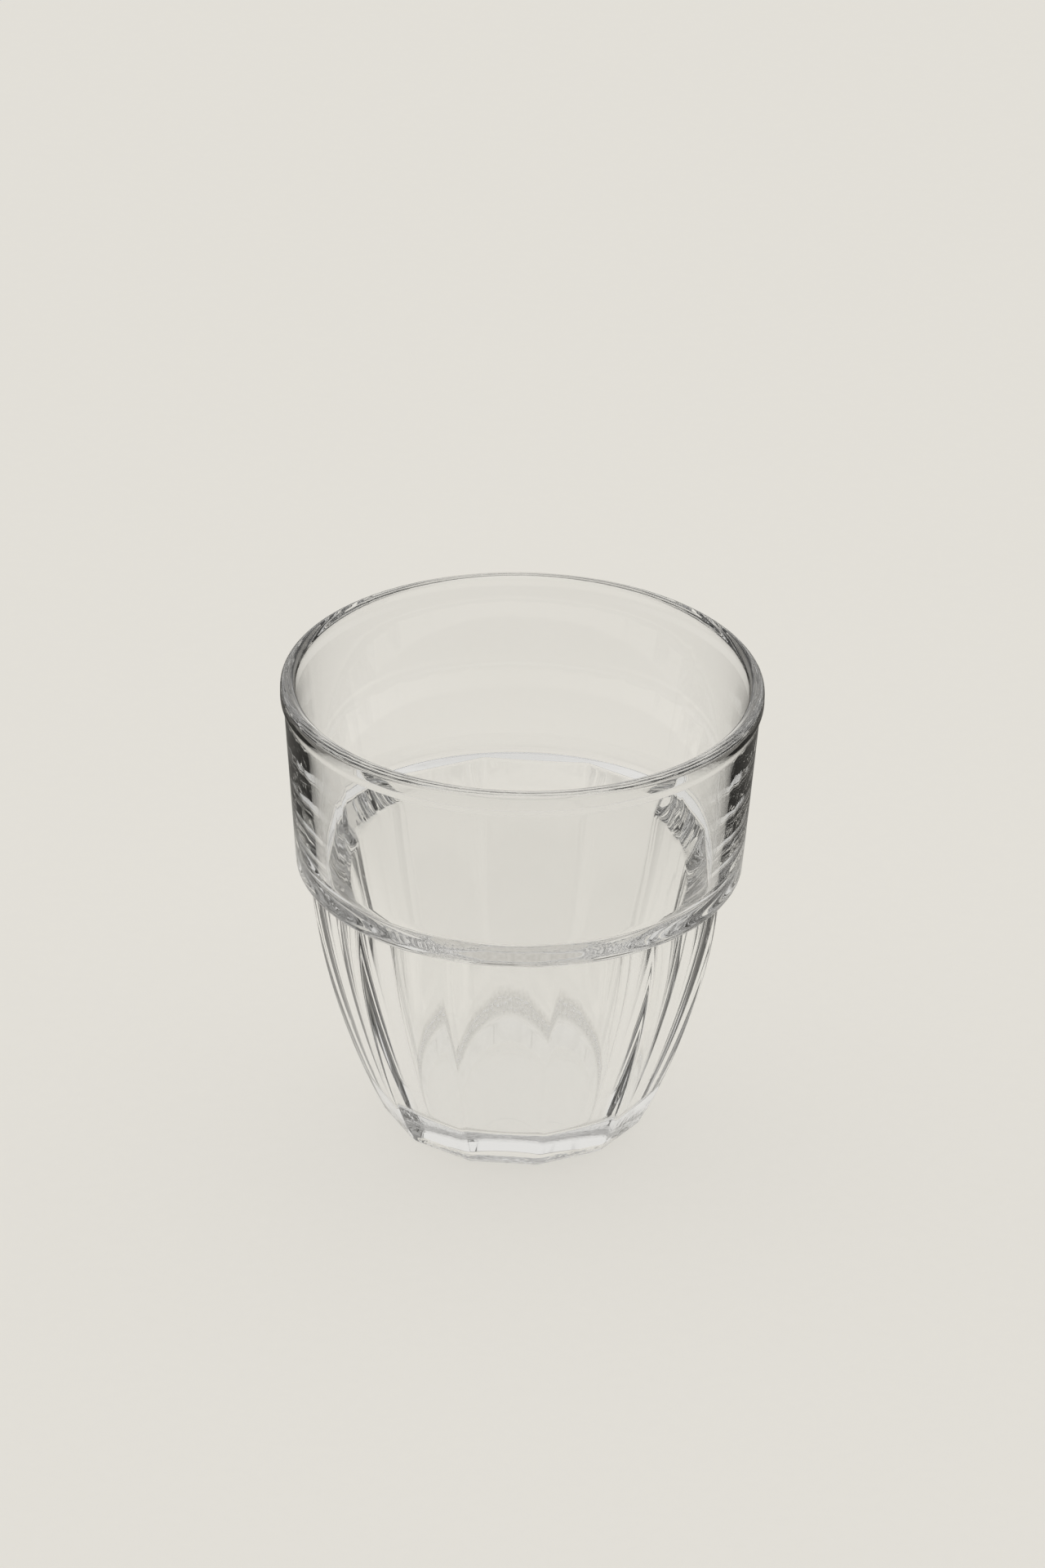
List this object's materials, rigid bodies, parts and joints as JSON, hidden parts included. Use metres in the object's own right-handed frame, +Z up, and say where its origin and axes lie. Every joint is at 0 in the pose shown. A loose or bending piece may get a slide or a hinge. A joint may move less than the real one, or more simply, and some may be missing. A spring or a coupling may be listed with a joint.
{
  "type": "drinking tumbler",
  "caption": "Clear pressed-glass tumbler with a round upper band, a beaded rim, a stacking shoulder and a flat-sided lower body that curves in to a solid foot.",
  "frame": {"origin": "on the glass's axis, in the plane that its foot stands on", "axes": "+Z up along the axis to the mouth; -Y is the middle of one of the twelve flat sides of the lower body, and +X the middle of another"},
  "size_m": [0.0856, 0.0856, 0.086],
  "materials": {
    "clear_glass": "smooth fire-polished clear soda-lime glass"
  },
  "bodies": {
    "root": {"tumbler_glass": "clear_glass"}
  },
  "joints": []
}
